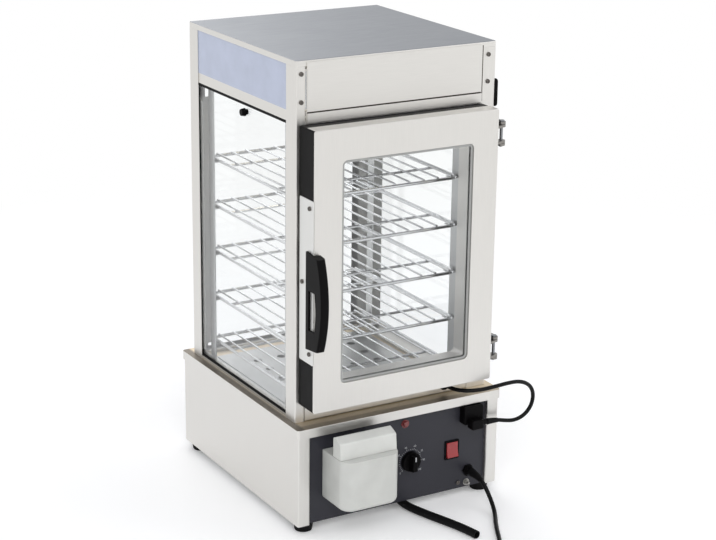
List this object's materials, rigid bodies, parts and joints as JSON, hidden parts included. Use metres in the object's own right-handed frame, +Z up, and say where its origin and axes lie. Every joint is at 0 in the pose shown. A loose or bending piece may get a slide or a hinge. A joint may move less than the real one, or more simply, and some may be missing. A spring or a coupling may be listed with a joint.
{
  "type": "bun steamer cabinet",
  "caption": "Counter-top glazed steaming cabinet with wire racks, hinged windowed door, light box, boiler base, clip-on water tank, drain hose and mains cord.",
  "frame": {"origin": "on the worktop, under the middle of the steamer's overall box without its cord, hose and lead", "axes": "+X right along the door face as seen from the front, +Y towards the back, +Z up"},
  "size_m": [0.4199, 0.7409, 0.74],
  "materials": {
    "stainless": "brushed",
    "stainless_inner": "mill",
    "panel_black": "satin powder coat",
    "rubber_black": "matte",
    "plastic_black": "moulded satin",
    "tank_plastic": "translucent",
    "clear_glass": "polished",
    "sign_plastic": "translucent opal",
    "red_plastic": "translucent",
    "chromed_wire": "bright",
    "lamp_glass": "opal",
    "white_plastic": "moulded",
    "cord_rubber": "satin",
    "hose_rubber": "satin",
    "aluminium": "satin anodised"
  },
  "bodies": {
    "cabinet": {"back_glass": "clear_glass", "base_shell": "stainless", "bottom_plate": "stainless_inner", "ceiling_glass": "clear_glass", "control_panel": "panel_black", "cord_gland": "plastic_black", "deck": "stainless", "drain_elbow": "stainless_inner", "drain_hose": "hose_rubber", "feed_pipe": "stainless_inner", "feet": "rubber_black", "floor_frame": "stainless", "front_fascia": "stainless", "heating_element": "stainless_inner", "hinge_brackets": "stainless", "hinge_pins": "stainless_inner", "indicator_lamp": "red_plastic", "lamp_holders": "white_plastic", "lamp_lead": "cord_rubber", "lamp_plug": "plastic_black", "lamp_socket": "plastic_black", "lamp_tube": "lamp_glass", "lead_grommet": "rubber_black", "left_glass": "clear_glass", "middle_frame": "stainless", "pane_gaskets": "rubber_black", "pane_knobs": "plastic_black", "post_front_left": "stainless", "post_front_right": "stainless", "post_rear_left": "stainless", "post_rear_right": "stainless", "power_cord": "cord_rubber", "power_cord_coil": "cord_rubber", "power_plug": "cord_rubber", "rack_1": "chromed_wire", "rack_2": "chromed_wire", "rack_3": "chromed_wire", "rack_4": "chromed_wire", "rack_5": "chromed_wire", "rack_strips": "stainless_inner", "right_glass": "clear_glass", "sign_panels": "sign_plastic", "steam_tray": "stainless_inner", "switch_body": "plastic_black", "tank_body": "tank_plastic", "tank_cap_pin": "stainless_inner", "thermostat": "plastic_black", "top_panel": "stainless", "water_pan": "stainless_inner", "wire_cover": "plastic_black"},
    "door": {"door_skin": "stainless", "door_liner": "plastic_black", "door_glass": "clear_glass", "door_seal": "rubber_black", "handle_plate": "aluminium", "handle": "plastic_black", "hinge_leaves": "stainless"},
    "thermostat_knob": {"thermostat_knob": "plastic_black"},
    "rocker": {"switch_rocker": "red_plastic"},
    "tank_cap": {"tank_cap": "tank_plastic"}
  },
  "joints": [
    {"name": "door_hinge", "type": "hinge", "parent": "cabinet", "child": "door", "pos_m": [0.17, -0.172, 0.4], "axis": [0, 0, 1], "range_deg": [0, 150]},
    {"name": "thermostat_turn", "type": "hinge", "parent": "cabinet", "child": "thermostat_knob", "pos_m": [0.022, -0.17, 0.081], "axis": [0, 1, 0], "range_deg": [0, 270]},
    {"name": "rocker_tilt", "type": "hinge", "parent": "cabinet", "child": "rocker", "pos_m": [0.1, -0.165, 0.085], "axis": [1, 0, 0], "range_deg": [0, 14]},
    {"name": "tank_cap_hinge", "type": "hinge", "parent": "cabinet", "child": "tank_cap", "pos_m": [-0.08725, -0.1925, 0.138], "axis": [-1, 0, 0], "range_deg": [0, 70]}
  ]
}
